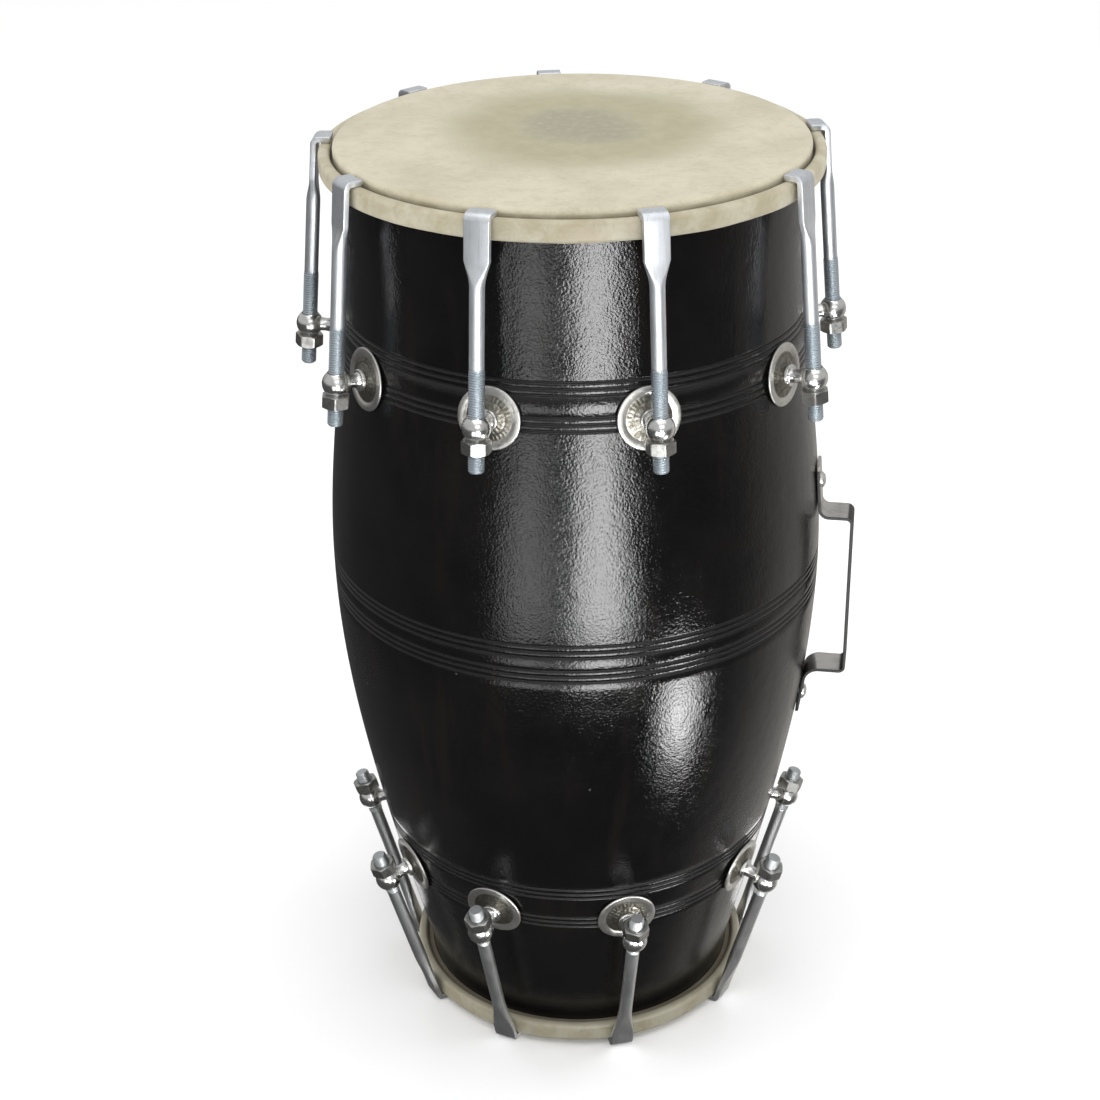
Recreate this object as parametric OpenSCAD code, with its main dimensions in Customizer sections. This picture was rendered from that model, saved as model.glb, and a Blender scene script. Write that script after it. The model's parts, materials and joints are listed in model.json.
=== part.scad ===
// Bolt-tuned dholak: a two-headed barrel drum that stands on its smaller head.
// Z runs up the barrel, z = 0 is the lower head's face, and the handle is on the +X side.

/* [Barrel] */
// Length from one playing surface to the other
drum_length = 500; // [470:5:540]
// Outside radius of the barrel at its widest place
belly_r = 132; // [128:0.5:136]
// Height of the widest place
belly_z = 275; // [265:1:285]
// Outside radius of the straight neck at the upper, bass end
bass_neck_r = 118.2; // [116:0.2:120]
// Height over which the belly draws in to the bass neck
bass_shoulder = 180; // [160:5:200]
// Outside radius of the short straight seat at the lower, treble end
treble_seat_r = 87.8; // [86:0.2:90]
// How steeply the barrel tapers towards the treble end, far from the belly
treble_taper = 0.305; // [0.29:0.005:0.32]
// How gently that taper begins
treble_roundness = 155; // [145:1:165]
// Thickness of the wooden wall
wall_t = 14; // [10:0.5:16]
// Heights of the turned groove triplets
groove_bands = [94, 116, 263, 277, 395, 412.5];
// Distance between the grooves of a triplet
groove_pitch = 3.3; // [2.5:0.1:4]
// Depth of a groove
groove_depth = 0.8; // [0.4:0.1:1.2]

/* [Heads] */
// Thickness of the skin
skin_t = 1.4; // [1:0.1:2]
// How far the playing surface stands above the skin-lapped hoop
crown = 3.5; // [2:0.1:5]
// Height of the lapped hoop
lap_h = 11; // [9:0.5:14]
// Radial width of the lapped hoop
lap_w = 6.1; // [5:0.1:8]
// Gap between the skin's collar and the lapped hoop
crevice = 1.2; // [0.6:0.1:2]
// Radius of the tuning paste under the bass skin
paste_r = 62; // [50:1:75]
// Thickness of the tuning paste
paste_t = 2; // [1:0.5:4]

/* [Hooks] */
// Places of the bass hooks around the rim, in degrees from +X, drilled by hand
bass_angles = [-174, -138, -100, -64, -23, 18, 61, 105, 142];
// Places of the treble hooks around the rim, in degrees from +X, drilled by hand
treble_angles = [-179, -140, -106, -67, -24, 17, 58, 99, 140];
// Height of the bass eye bolts' holes
bass_bolt_z = 396.5; // [385:0.5:405]
// Height of the treble eye bolts' holes
treble_bolt_z = 97.5; // [90:0.5:105]
// Lean of the bass hooks from upright
bass_lean = 5.3; // [4:0.1:7]
// Lean of the treble hooks from upright
treble_lean = 16; // [14.5:0.1:16.5]
// Diameter of the hooks' thread
thread_d = 8; // [7:0.5:9]
// Diameter of the hooks' plain shank
shank_d = 7.2; // [6:0.1:7.5]
// Width of the flat blade and tab
blade_w = 12.6; // [11:0.1:14]
// Thickness of the flat blade and tab
blade_t = 3; // [2.5:0.1:3.5]
// Length of a bass blade that keeps its full width
bass_blade_l = 22; // [18:1:26]
// Length over which a bass blade draws in to the shank
bass_blade_neck = 13; // [10:1:16]
// Length of a treble blade that keeps its full width
treble_blade_l = 10; // [8:1:16]
// Length over which a treble blade draws in to the shank
treble_blade_neck = 26; // [20:1:32]
// Length of thread between a bass eye and the plain shank
bass_thread = 29; // [20:1:34]
// Length of thread between a treble eye and the plain shank
treble_thread = 10; // [9:1:20]
// Rod end below a bass eye's centre
bass_rod_end = 22; // [19:0.5:24]
// Rod end beyond a treble eye's centre
treble_rod_end = 18; // [17.5:0.5:24]

/* [Fastenings] */
// Diameter of an eye bolt's ball
eye_d = 14; // [13:0.5:16]
// Distance from the barrel to the centre of an eye
eye_reach = 17.4; // [15:0.2:20]
// Size of the tuning nuts across their flats
nut_af = 13; // [12:0.5:14]
// Height of a nut
nut_h = 6.5; // [5:0.5:7]
// Diameter of the rosettes
rosette_d = 32; // [28:1:34]

/* [Handle] */
// Width of the handle's strip
handle_w = 19; // [16:1:22]
// Thickness of the handle's strip
handle_t = 1.6; // [1.2:0.1:2.4]
// Distance of the grip's middle from the drum's axis
grip_r = 149.3; // [146:0.1:156]
// Heights of the foot's end, the screw and the arm at the handle's upper end
handle_upper = [329, 318, 300];
// Heights of the foot's end, the screw and the arm at the handle's lower end
handle_lower = [178, 188, 207];

/* [Hidden] */
$fn = 96;
hook_count = len(bass_angles);

running_gap = 0.1;             // radial clearance of a rod in an eye or a nut
face_gap = 0.1;                // play between a nut and its eye, and under a tab
collar_gap = 0.1;              // gap between a skin's collar and the barrel
drill_over = 4;                // how far a drilled hole's cutter runs past its work
joined = 1;                    // how far two pieces of one solid run into each other
stations = 60;                 // steps along the barrel's outline
rim_land = 5;                  // width of the flat rim under a skin
rim_bevel = 6;                 // drop of the bevel inside the rim
paste_edge = 6;                // width of the paste's feathered edge
lap_round = 2.4;               // rounding of the lapped hoop's corners
lap_t = 1.5;                   // thickness of the lap round the steel hoop
fold_round = 1.5;              // rounding where a skin turns over the rim
eye_flat = 0.05;               // how much of the ball is faced off around its bore
eye_half = sqrt(pow(eye_d / 2, 2) - pow(thread_d / 2 + running_gap, 2)) - eye_flat;
bend_r = 4;                    // outer radius of the bend between blade and tab
blade_core = shank_d / 3;      // half width of the blade where it leaves the shank
cone_end_d = blade_t - 0.6;    // diameter at which the shank's cone ends inside the blade
rod_chamfer = 1;               // chamfer on a rod's free end
tab_play = 1.5;                // gap between a tab's tip and the skin's collar
nut_chamfer = 0.1;             // how far a nut's round chamfer lies inside its flats
shoulder_d = 11;               // diameter of an eye bolt's shoulder
shoulder_h = 2;                // height of that shoulder
neck_into_ball = 1.5;          // how far an eye bolt's neck runs into its ball
rosette_h = 3.4;               // height of a rosette at its middle
washer_d = 20;                 // diameter of the washers inside the barrel
washer_t = 1.5;                // thickness of those washers
washer_lift = 0.6;             // stand-off of a flat washer in the round barrel
bolt_past_nut = 2;             // end of an eye bolt beyond its inner nut
screw_d = 4;                   // diameter of a handle screw
screw_l = 12;                  // depth of a handle screw in the wall
screw_play = 0.3;              // radial play of a screw in a handle's foot
slot_w = 1;                    // width of a screw's slot
slot_depth = 0.9;              // depth of that slot
screw_head_d = 8.4;            // diameter of a handle screw's head
screw_head_h = 2.4;            // height of that head
foot_lift = 0.3;               // stand-off of a handle foot's middle from the barrel
arm_bend = 5;                  // radius of the bend from the upper foot to its arm
low_arm_bend = 8;              // radius of the bend from the lower foot to its arm
grip_bend = 3;                 // radius of the grip's two corners
rim_top = drum_length - skin_t;

function bass_collar_r() = bass_neck_r + skin_t + collar_gap;
function treble_collar_r() = treble_seat_r + skin_t + collar_gap;

// Outside radius of the barrel at height z.
function bass_side_r(z) =
    bass_neck_r + (belly_r - bass_neck_r) * (1 + cos(180 * min(1, (z - belly_z) / bass_shoulder))) / 2;
function treble_side_r(z) =
    belly_r - treble_taper * (sqrt(pow(belly_z - z, 2) + pow(treble_roundness, 2)) - treble_roundness);
function shell_r(z) = z > belly_z ? bass_side_r(z) : max(treble_seat_r, treble_side_r(z));

// Tilt of the barrel's outward normal above the horizontal at height z.
function shell_tilt(z) = -atan(shell_r(z + 0.5) - shell_r(z - 0.5));

// Radius and height of an eye's centre, for a bolt at height z.
function eye_r(z) = shell_r(z) + eye_reach * cos(shell_tilt(z));
function eye_z(z) = z + eye_reach * sin(shell_tilt(z));

function unit(v) = v / norm(v);

// An open path with its inner corners rounded, each by its own radius.
function arc(centre, r, a0, a1, n = 8) =
    [for (k = [0:n]) centre + r * [cos(a0 + (a1 - a0) * k / n), sin(a0 + (a1 - a0) * k / n)]];
function short_turn(a) = a > 180 ? a - 360 : a < -180 ? a + 360 : a;
function corner(before, at, after, r) =
    let (d1 = unit(before - at), d2 = unit(after - at))
    let (half = acos(d1 * d2) / 2, centre = at + unit(d1 + d2) * r / sin(half))
    let (start = at + d1 * r / tan(half) - centre, stop = at + d2 * r / tan(half) - centre)
    let (a0 = atan2(start[1], start[0]), a1 = atan2(stop[1], stop[0]))
    arc(centre, r, a0, a0 + short_turn(a1 - a0));
function rounded_path(p, radii) = concat(
    [p[0]],
    [for (i = [1:len(p) - 2]) each corner(p[i - 1], p[i], p[i + 1], radii[i - 1])],
    [p[len(p) - 1]]
);

// The outline of a strip of thickness t that follows a path.
function side_of(p, i) =
    let (d = unit(p[min(i + 1, len(p) - 1)] - p[max(i - 1, 0)])) [-d[1], d[0]];
function strip_outline(p, t) = concat(
    [for (i = [0:len(p) - 1]) p[i] + side_of(p, i) * t / 2],
    [for (i = [len(p) - 1:-1:0]) p[i] - side_of(p, i) * t / 2]
);

// Puts its children on the barrel's surface, pointing outwards along the normal.
module on_barrel(angle, z) {
    rotate([0, 0, angle])
        translate([shell_r(z), 0, z])
            rotate([0, 90 - shell_tilt(z), 0])
                children();
}

// Every place where an eye bolt passes through the barrel.
module at_bass_bolts() {
    for (a = bass_angles) on_barrel(a, bass_bolt_z) children();
}
module at_treble_bolts() {
    for (a = treble_angles) on_barrel(a, treble_bolt_z) children();
}
module at_handle_screws() {
    for (z = [handle_upper[1], handle_lower[1]]) on_barrel(0, z) children();
}

// A rod along Z from z0 to z1.
module rod(d, z0, z1) {
    translate([0, 0, z0]) cylinder(d = d, h = z1 - z0);
}

// A hexagonal nut with chamfered corners, its lower face at z = 0.
module hex_nut() {
    corner_r = nut_af / 2 / cos(30);
    face_r = nut_af / 2 - nut_chamfer;
    far_r = face_r + 2 * nut_h;
    difference() {
        intersection() {
            cylinder(r = corner_r, h = nut_h, $fn = 6);
            cylinder(r1 = face_r, r2 = far_r, h = nut_h);
            cylinder(r1 = far_r, r2 = face_r, h = nut_h);
        }
        rod(thread_d + 2 * running_gap, -drill_over, nut_h + drill_over);
    }
}

// The turned wooden barrel, drilled for the eye bolts and the handle's screws.
module shell() {
    side = [for (k = [0:stations]) let (z = skin_t + (rim_top - skin_t) * k / stations) [shell_r(z), z]];
    bore = [
        for (k = [stations:-1:0])
            let (z = skin_t + rim_bevel + (rim_top - skin_t - 2 * rim_bevel) * k / stations)
            [shell_r(z) - wall_t, z]
    ];
    rims = [[bass_neck_r - rim_land, rim_top], [treble_seat_r - rim_land, skin_t]];
    groove_w = groove_depth * sqrt(2);
    color([0.05, 0.05, 0.055])
    difference() {
        rotate_extrude() difference() {
            polygon(concat(side, [rims[0]], bore, [rims[1]]));
            for (band = groove_bands, k = [-1:1])
                let (z = band + k * groove_pitch)
                translate([shell_r(z), z]) rotate(45) square(groove_w, center = true);
        }
        at_bass_bolts() rod(thread_d + 2 * running_gap, -wall_t - drill_over, drill_over);
        at_treble_bolts() rod(thread_d + 2 * running_gap, -wall_t - drill_over, drill_over);
        at_handle_screws() rod(screw_d + 2 * running_gap, -screw_l - joined / 2, drill_over);
    }
}

// Cross-section of a rectangle with rounded corners, from [x0, y0] to [x1, y1].
module rounded_box(x0, y0, x1, y1, r) {
    translate([x0 + r, y0]) square([x1 - x0 - 2 * r, y1 - y0]);
    translate([x0, y0 + r]) square([x1 - x0, y1 - y0 - 2 * r]);
    for (x = [x0 + r, x1 - r], y = [y0 + r, y1 - r]) translate([x, y]) circle(r = r, $fn = 32);
}

// Flat steel hoop, below a playing surface at z = 0.
module hoop_section(collar_r) {
    translate([collar_r + crevice + lap_t, -crown - lap_h + lap_t])
        square([lap_w - 2 * lap_t, lap_h - 2 * lap_t]);
}

// A skin stretched over the rim, down its outside and lapped round the steel hoop.
module skin(collar_r) {
    lap_r = collar_r + crevice;
    lap_bottom = -crown - lap_h;
    rotate_extrude() difference() {
        union() {
            translate([0, -skin_t]) square([collar_r - fold_round, skin_t]);
            translate([collar_r - fold_round, -fold_round])
                intersection() {
                    circle(r = fold_round, $fn = 32);
                    square(fold_round);
                }
            translate([collar_r - skin_t, lap_bottom + lap_round])
                square([skin_t, lap_h + crown - lap_round - fold_round]);
            translate([collar_r - skin_t, lap_bottom + lap_round])
                square([skin_t + crevice + lap_round, skin_t]);
            rounded_box(lap_r, lap_bottom, lap_r + lap_w, -crown, lap_round);
        }
        hoop_section(collar_r);
    }
}

module steel_hoop(collar_r) {
    rotate_extrude() hoop_section(collar_r);
}

module at_treble_end() { mirror([0, 0, 1]) children(); }
module at_bass_end() { translate([0, 0, drum_length]) children(); }

module bass_skin() { color([0.84, 0.80, 0.66]) at_bass_end() skin(bass_collar_r()); }
module treble_skin() { color([0.82, 0.78, 0.64]) at_treble_end() skin(treble_collar_r()); }
module bass_hoop() { color([0.45, 0.45, 0.47]) at_bass_end() steel_hoop(bass_collar_r()); }
module treble_hoop() { color([0.45, 0.45, 0.47]) at_treble_end() steel_hoop(treble_collar_r()); }

// Tuning paste spread on the inside of the bass skin.
module bass_paste() {
    color([0.33, 0.31, 0.24]) translate([0, 0, rim_top - paste_t]) rotate_extrude()
        polygon([
            [0, 0], [paste_r - paste_edge, 0], [paste_r, 0.8 * paste_t], [paste_r, paste_t], [0, paste_t]
        ]);
}

// A rod along Z with a bored ball on its end, tilted so that the bore follows a hook.
module eye_bolt(bore_tilt) {
    shank_end = -wall_t - washer_lift - washer_t - nut_h - bolt_past_nut;
    through = eye_d + drill_over;
    difference() {
        union() {
            rod(thread_d, shank_end, rosette_h + running_gap);
            rod(shoulder_d, rosette_h + running_gap, rosette_h + shoulder_h);
            rod(shank_d, rosette_h + shoulder_h, eye_reach - eye_d / 2 + neck_into_ball);
            translate([0, 0, eye_reach]) intersection() {
                sphere(d = eye_d);
                rotate([0, bore_tilt, 0]) cylinder(d = through, h = 2 * eye_half, center = true);
            }
        }
        translate([0, 0, eye_reach]) rotate([0, bore_tilt, 0])
            cylinder(d = thread_d + 2 * running_gap, h = through, center = true);
    }
}

// The ball's bore is square to the drum's radius and leans with its hook.
module bass_eye_bolts() {
    color([0.72, 0.73, 0.74])
        at_bass_bolts() eye_bolt(-90 + shell_tilt(bass_bolt_z) - bass_lean);
}
module treble_eye_bolts() {
    color([0.72, 0.73, 0.74])
        at_treble_bolts() eye_bolt(-90 + shell_tilt(treble_bolt_z) + treble_lean);
}

// A pressed metal rosette with a beaded rim and a raised middle.
module rosette() {
    r = rosette_d / 2;
    hole_r = thread_d / 2 + running_gap;
    rotate_extrude() polygon([
        [hole_r, 0.05], [r - 0.8, 0.05], [r, 0.5], [r, 1.2], [r - 0.8, 1.8], [r - 1.8, 1.3],
        [r - 4, 1.5], [r - 5.2, 2.3], [r - 6.4, 2.0], [r - 9, 3.0], [hole_r + 1.4, rosette_h],
        [hole_r, rosette_h]
    ]);
}
module bass_rosettes() { color([0.72, 0.70, 0.64]) at_bass_bolts() rosette(); }
module treble_rosettes() { color([0.72, 0.70, 0.64]) at_treble_bolts() rosette(); }

// The washers and nuts that hold the eye bolts from inside the barrel.
module inner_washers() {
    at = -wall_t - washer_lift - washer_t;
    color([0.62, 0.62, 0.60]) {
        at_bass_bolts() translate([0, 0, at]) washer();
        at_treble_bolts() translate([0, 0, at]) washer();
    }
}
module washer() {
    difference() {
        cylinder(d = washer_d, h = washer_t);
        rod(thread_d + 2 * running_gap, -drill_over, washer_t + drill_over);
    }
}
module inner_nuts() {
    at = -wall_t - washer_lift - washer_t - nut_h;
    color([0.66, 0.66, 0.65]) {
        at_bass_bolts() translate([0, 0, at]) hex_nut();
        at_treble_bolts() translate([0, 0, at]) hex_nut();
    }
}

// A hook in its own frame: its rod runs along Z through the eye's centre at the origin, and the
// tab points towards -X. thread gives the thread's length on either side of the eye, and neck
// where the neck between shank and blade starts and ends.
// reach is from the eye to the tab's upper face, along the rod.
module hook(reach, lean, thread, neck, tab_tip) {
    round_end = neck[0] + (neck[1] - neck[0]) / 4;
    difference() {
        rod(thread_d, -thread[0], thread[1]);
        translate([0, 0, -thread[0]]) rotate_extrude() rod_end_cut();
    }
    rod(shank_d, thread[1] - joined, round_end);
    translate([0, 0, round_end])
        cylinder(d1 = shank_d, d2 = cone_end_d, h = neck[1] - round_end);
    intersection() {
        blade_side(reach, lean, tab_tip, neck);
        blade_front(reach, tab_tip, neck);
    }
}

// Section of the ring that is cut off to chamfer a rod's free end.
module rod_end_cut() {
    r = thread_d / 2;
    c = rod_chamfer;
    polygon([[r - 2 * c, -c], [2 * r, -c], [2 * r, c], [r, c]]);
}

// Side view of the blade, drawn in X and Z: a tapering neck, the flat, the bend and the tab.
module blade_side(reach, lean, tab_tip, neck) {
    half = blade_t / 2;
    swing = 90 - lean;
    bend = bend_centre(reach, lean);
    inner = bend_r - blade_t;
    outline = concat(
        [[-blade_core, neck[0]], [blade_core, neck[0]], [half, neck[1]]],
        arc(bend, bend_r, 0, swing),
        tab_end(bend + bend_r * [cos(swing), sin(swing)], swing, tab_tip),
        arc(bend, inner, swing, 0),
        [[-half, neck[1]]]
    );
    rotate([90, 0, 0]) translate([0, 0, -blade_w]) linear_extrude(2 * blade_w) polygon(outline);
}

// Centre of the bend between blade and tab, in the side view.
function bend_centre(reach, lean) =
    let (x = blade_t / 2 - bend_r) [x, reach - (bend_r + x * sin(lean)) / cos(lean)];

// The tab's two end points, tab_tip long from the end of the bend.
function tab_end(from, swing, tab_tip) =
    let (along = [-sin(swing), cos(swing)], down = -[cos(swing), sin(swing)])
    [from + along * tab_tip, from + along * tab_tip + down * blade_t];

// Front view of the blade, drawn in Y and Z: a neck that spreads to the flat's full width.
module blade_front(reach, tab_tip, neck) {
    half = blade_w / 2;
    top = reach + blade_w;
    rotate([90, 0, 90]) translate([0, 0, -3 * bend_r - tab_tip])
        linear_extrude(6 * bend_r + 2 * tab_tip) polygon([
            [-blade_core, neck[0]], [blade_core, neck[0]], [half, neck[1]], [half, top],
            [-half, top], [-half, neck[1]]
        ]);
}

// Distance along a leaning rod from the eye, depth below the playing surface, to the tab's top.
function hook_reach(depth, lean) = (depth - crown + blade_t + face_gap) / cos(lean);

// Length of the tab beyond its bend, so that its tip stops short of the skin's collar.
function tab_length(eye_at, reach, lean, collar_r) =
    let (from = bend_centre(reach, lean) + bend_r * [sin(lean), cos(lean)])
    eye_at - from[1] * sin(lean) + from[0] * cos(lean) - collar_r - tab_play;

// Puts its children on a hook's own axes, at an end whose eyes lie depth below the playing surface.
module on_rod(angle, eye_at, depth, lean) {
    rotate([0, 0, angle]) translate([eye_at, 0, -depth]) rotate([0, -lean, 0]) children();
}

bass_eye_r = eye_r(bass_bolt_z);
bass_eye_depth = drum_length - eye_z(bass_bolt_z);
bass_reach = hook_reach(bass_eye_depth, bass_lean);
treble_eye_r = eye_r(treble_bolt_z);
treble_eye_depth = eye_z(treble_bolt_z);
treble_reach = hook_reach(treble_eye_depth, treble_lean);

module bass_hook(i) {
    tab = tab_length(bass_eye_r, bass_reach, bass_lean, bass_collar_r());
    neck_end = bass_reach - bass_blade_l;
    neck = [neck_end - bass_blade_neck, neck_end];
    color([0.66, 0.69, 0.71]) at_bass_end()
        on_rod(bass_angles[i - 1], bass_eye_r, bass_eye_depth, bass_lean)
            hook(bass_reach, bass_lean, [bass_rod_end, bass_thread], neck, tab);
}
module treble_hook(i) {
    tab = tab_length(treble_eye_r, treble_reach, treble_lean, treble_collar_r());
    neck_end = treble_reach - treble_blade_l;
    neck = [neck_end - treble_blade_neck, neck_end];
    color([0.60, 0.63, 0.65]) at_treble_end()
        on_rod(treble_angles[i - 1], treble_eye_r, treble_eye_depth, treble_lean)
            hook(treble_reach, treble_lean, [treble_rod_end, treble_thread], neck, tab);
}

// A tuning nut bears on the side of the eye away from the hoop.
module tuning_nut() {
    translate([0, 0, -eye_half - face_gap - nut_h]) hex_nut();
}
module bass_nut(i) {
    color([0.74, 0.75, 0.75]) at_bass_end()
        on_rod(bass_angles[i - 1], bass_eye_r, bass_eye_depth, bass_lean) tuning_nut();
}
module treble_nut(i) {
    color([0.70, 0.71, 0.71]) at_treble_end()
        on_rod(treble_angles[i - 1], treble_eye_r, treble_eye_depth, treble_lean) tuning_nut();
}

// Bent steel strip on the +X side: a foot on the barrel, an arm, the grip, an arm and a foot.
module handle() {
    off = handle_t / 2 + foot_lift;
    path = rounded_path(
        [
            [shell_r(handle_upper[0]) + off, handle_upper[0]],
            [shell_r(handle_upper[2]) + off, handle_upper[2]],
            [grip_r, handle_upper[2]],
            [grip_r, handle_lower[2]],
            [shell_r(handle_lower[2]) + off, handle_lower[2]],
            [shell_r(handle_lower[0]) + off, handle_lower[0]]
        ],
        [arm_bend, grip_bend, grip_bend, low_arm_bend]
    );
    color([0.78, 0.79, 0.80]) difference() {
        rotate([90, 0, 0]) translate([0, 0, -handle_w / 2]) linear_extrude(handle_w)
            polygon(strip_outline(path, handle_t));
        at_handle_screws() rod(screw_d + 2 * screw_play, -drill_over, foot_lift + handle_t + drill_over);
    }
}

// Slotted round-head screws through the handle's feet.
module handle_screws() {
    seat = foot_lift + handle_t + face_gap;
    color([0.70, 0.71, 0.72]) at_handle_screws() difference() {
        union() {
            rod(screw_d, -screw_l, seat + joined);
            translate([0, 0, seat]) rotate_extrude() intersection() {
                square([screw_head_d / 2, screw_head_h]);
                translate([0, screw_head_h - screw_head_d * 0.75]) circle(d = screw_head_d * 1.5);
            }
        }
        translate([0, 0, seat + screw_head_h])
            cube([2 * screw_head_d, slot_w, 2 * slot_depth], center = true);
    }
}

shell();
bass_skin();
bass_hoop();
bass_paste();
treble_skin();
treble_hoop();
bass_eye_bolts();
treble_eye_bolts();
bass_rosettes();
treble_rosettes();
inner_washers();
inner_nuts();
handle();
handle_screws();
for (i = [1:hook_count]) bass_hook(i);
for (i = [1:hook_count]) bass_nut(i);
for (i = [1:hook_count]) treble_hook(i);
for (i = [1:hook_count]) treble_nut(i);
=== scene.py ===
import json
import math

import bpy
from mathutils import Matrix, Vector, noise


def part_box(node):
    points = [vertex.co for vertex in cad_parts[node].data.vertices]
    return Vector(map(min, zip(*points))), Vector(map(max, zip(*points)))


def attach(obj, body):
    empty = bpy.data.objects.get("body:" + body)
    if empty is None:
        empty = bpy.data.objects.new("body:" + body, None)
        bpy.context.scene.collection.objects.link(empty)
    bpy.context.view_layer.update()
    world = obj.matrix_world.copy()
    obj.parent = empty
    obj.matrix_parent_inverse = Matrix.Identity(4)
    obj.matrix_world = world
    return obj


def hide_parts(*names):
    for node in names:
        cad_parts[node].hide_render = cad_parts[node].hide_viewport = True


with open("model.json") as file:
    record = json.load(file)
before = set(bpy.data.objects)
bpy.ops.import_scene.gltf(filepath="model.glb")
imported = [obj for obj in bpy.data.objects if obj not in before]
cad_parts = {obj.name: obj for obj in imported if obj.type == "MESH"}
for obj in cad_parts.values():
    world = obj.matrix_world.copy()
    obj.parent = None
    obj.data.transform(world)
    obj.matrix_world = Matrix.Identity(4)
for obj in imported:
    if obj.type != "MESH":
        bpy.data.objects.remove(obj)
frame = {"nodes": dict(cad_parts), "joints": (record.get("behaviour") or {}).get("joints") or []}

# A bolt-tuned dholak. All lengths are in metres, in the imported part's own frame.
MM = 0.001
TAU = 2 * math.pi
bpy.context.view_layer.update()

# -------------------- driving dimensions
BELLY_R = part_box("shell")[1].x  # widest radius of the barrel
BELLY_Z = 275 * MM            # height of the widest place
NECK_R = 118.2 * MM           # straight neck at the bass end
NECK_DRAW = 180 * MM          # height over which the belly draws in to it
SEAT_R = 87.8 * MM            # short straight seat at the treble end
TAPER = 0.305                 # slope towards the treble end
TAPER_ROUND = 155 * MM        # how gently that taper begins
WALL = 14 * MM
RIM_LAND = 5 * MM             # flat rim under a skin
RIM_BEVEL = 6 * MM            # drop of the bevel inside it
BANDS = [94 * MM, 116 * MM, 263 * MM, 277 * MM, 395 * MM, 412.5 * MM]
GROOVE_PITCH = 3.3 * MM       # between the three grooves of a band
GROOVE_DEPTH = 0.8 * MM
GROOVE_HALF = 0.85 * MM       # half a groove's width
GROOVE_FLARE = 0.8            # under 1 widens a groove's bottom

SKIN_T = 1.4 * MM
CROWN = 3.5 * MM              # playing surface above the lapped hoop
LAP_H = 11 * MM               # the lapped hoop: height, width and rounding
LAP_W = 6.1 * MM
LAP_ROUND = 2.4 * MM
LAP_T = 1.5 * MM              # skin round the steel hoop
CREVICE = 1.2 * MM            # between the collar and the lapped hoop
FOLD_ROUND = 1.5 * MM         # inside the fold over the rim
FACE_ROUND = 2.6 * MM         # outside it
LAP_SLACK = 0.35 * MM         # how far the lapped edge sinks in
LAP_RAGGED = 0.9 * MM         # how far its lower edge wanders up
FACE_SAG = 0.12 * MM          # how far the face and the lap's top sink

CREST_R = 3.98 * MM           # M8 thread
ROOT_R = 3.42 * MM
THREAD_PITCH = 1.25 * MM
SHANK_R = 3.6 * MM
BLADE_W = 12.6 * MM
BLADE_T = 3 * MM
BLADE_ROUND = 0.5 * MM        # rounding of the blade's long edges
TIP_ROUND = 0.45 * MM         # rounding of the tab's tip
BLADE_CORE = SHANK_R * 2 / 3  # half width of the blade where it leaves the shank
BLADE_L = {"bass": 22 * MM, "treble": 10 * MM}       # full-width part of the blade
BLADE_NECK = {"bass": 13 * MM, "treble": 26 * MM}    # length over which it draws in to the shank
THREAD_PAST = {"bass": 29 * MM, "treble": 10 * MM}   # thread between the eye and the plain shank
ROD_END = {"bass": 22 * MM, "treble": 18 * MM}       # rod end beyond the eye's centre
ROD_CHAMFER = 0.9 * MM
BEND_R = 4 * MM               # outside of the bend between blade and tab
TAB_PLAY = 1.5 * MM           # between a tab's tip and the collar
FACE_GAP = 0.1 * MM           # play between two faces that bear on each other

EYE_R = 7 * MM                # an eye bolt's ball
EYE_REACH = 17.4 * MM         # from the barrel to its centre
BORE_R = 4.1 * MM             # bore of an eye or a nut
EYE_HALF = math.sqrt(EYE_R ** 2 - BORE_R ** 2) - 0.05 * MM   # half the length of an eye's bore
BOLT_R = 4 * MM
BOLT_TIP_R = 3.2 * MM
BOLT_INSIDE = 10.6 * MM       # end of an eye bolt inside the barrel's wall
SHOULDER_R = 5.5 * MM         # its shoulder, on the rosette
SHOULDER_H = 2 * MM
NUT_AF = 13 * MM              # across the flats
NUT_H = 6.5 * MM
ROSETTE_R = 16 * MM
ROSETTE_H = 3.4 * MM
ROSETTE_HOLE = 4.3 * MM
ROLLED_RIM = 4.2 * MM         # width of the rosette's smooth rim
DOME_Z = 1.15 * MM            # height at which its raised middle starts

HANDLE_T = 1.6 * MM
HANDLE_ROUND = 0.35 * MM      # rounding of the strip's long edges
FOOT_CORNER = 4 * MM          # rounding of the corners of its feet
FOOT_LIFT = 0.3 * MM          # a foot's stand-off from the barrel
HANDLE_HEIGHTS = [329 * MM, 300 * MM, 207 * MM, 178 * MM]    # foot, arm, arm and foot, from the top
HANDLE_BENDS = [5 * MM, 3 * MM, 3 * MM, 8 * MM]              # the four bends, from the top

RING = 288                    # steps round the barrel and the skins
CORNER_STEPS = 8              # points in each corner of a hook's or the handle's section
JOINTS = {j["name"]: j for j in frame["joints"]}
HOOKS = range(1, 1 + sum(n.startswith("bass_hook_") for n in frame["nodes"]))


def shell_r(z):
    """Outside radius of the barrel at height z."""
    if z > BELLY_Z:
        drop = min(1, (z - BELLY_Z) / NECK_DRAW)
        return NECK_R + (BELLY_R - NECK_R) * (1 + math.cos(math.pi * drop)) / 2
    return max(SEAT_R, BELLY_R - TAPER * (math.hypot(BELLY_Z - z, TAPER_ROUND) - TAPER_ROUND))


def shell_tilt(z):
    """Tilt of the barrel's outward normal above the horizontal, in radians."""
    step = 0.5 * MM
    return -math.atan2(shell_r(z + step) - shell_r(z - step), 2 * step)


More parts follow.
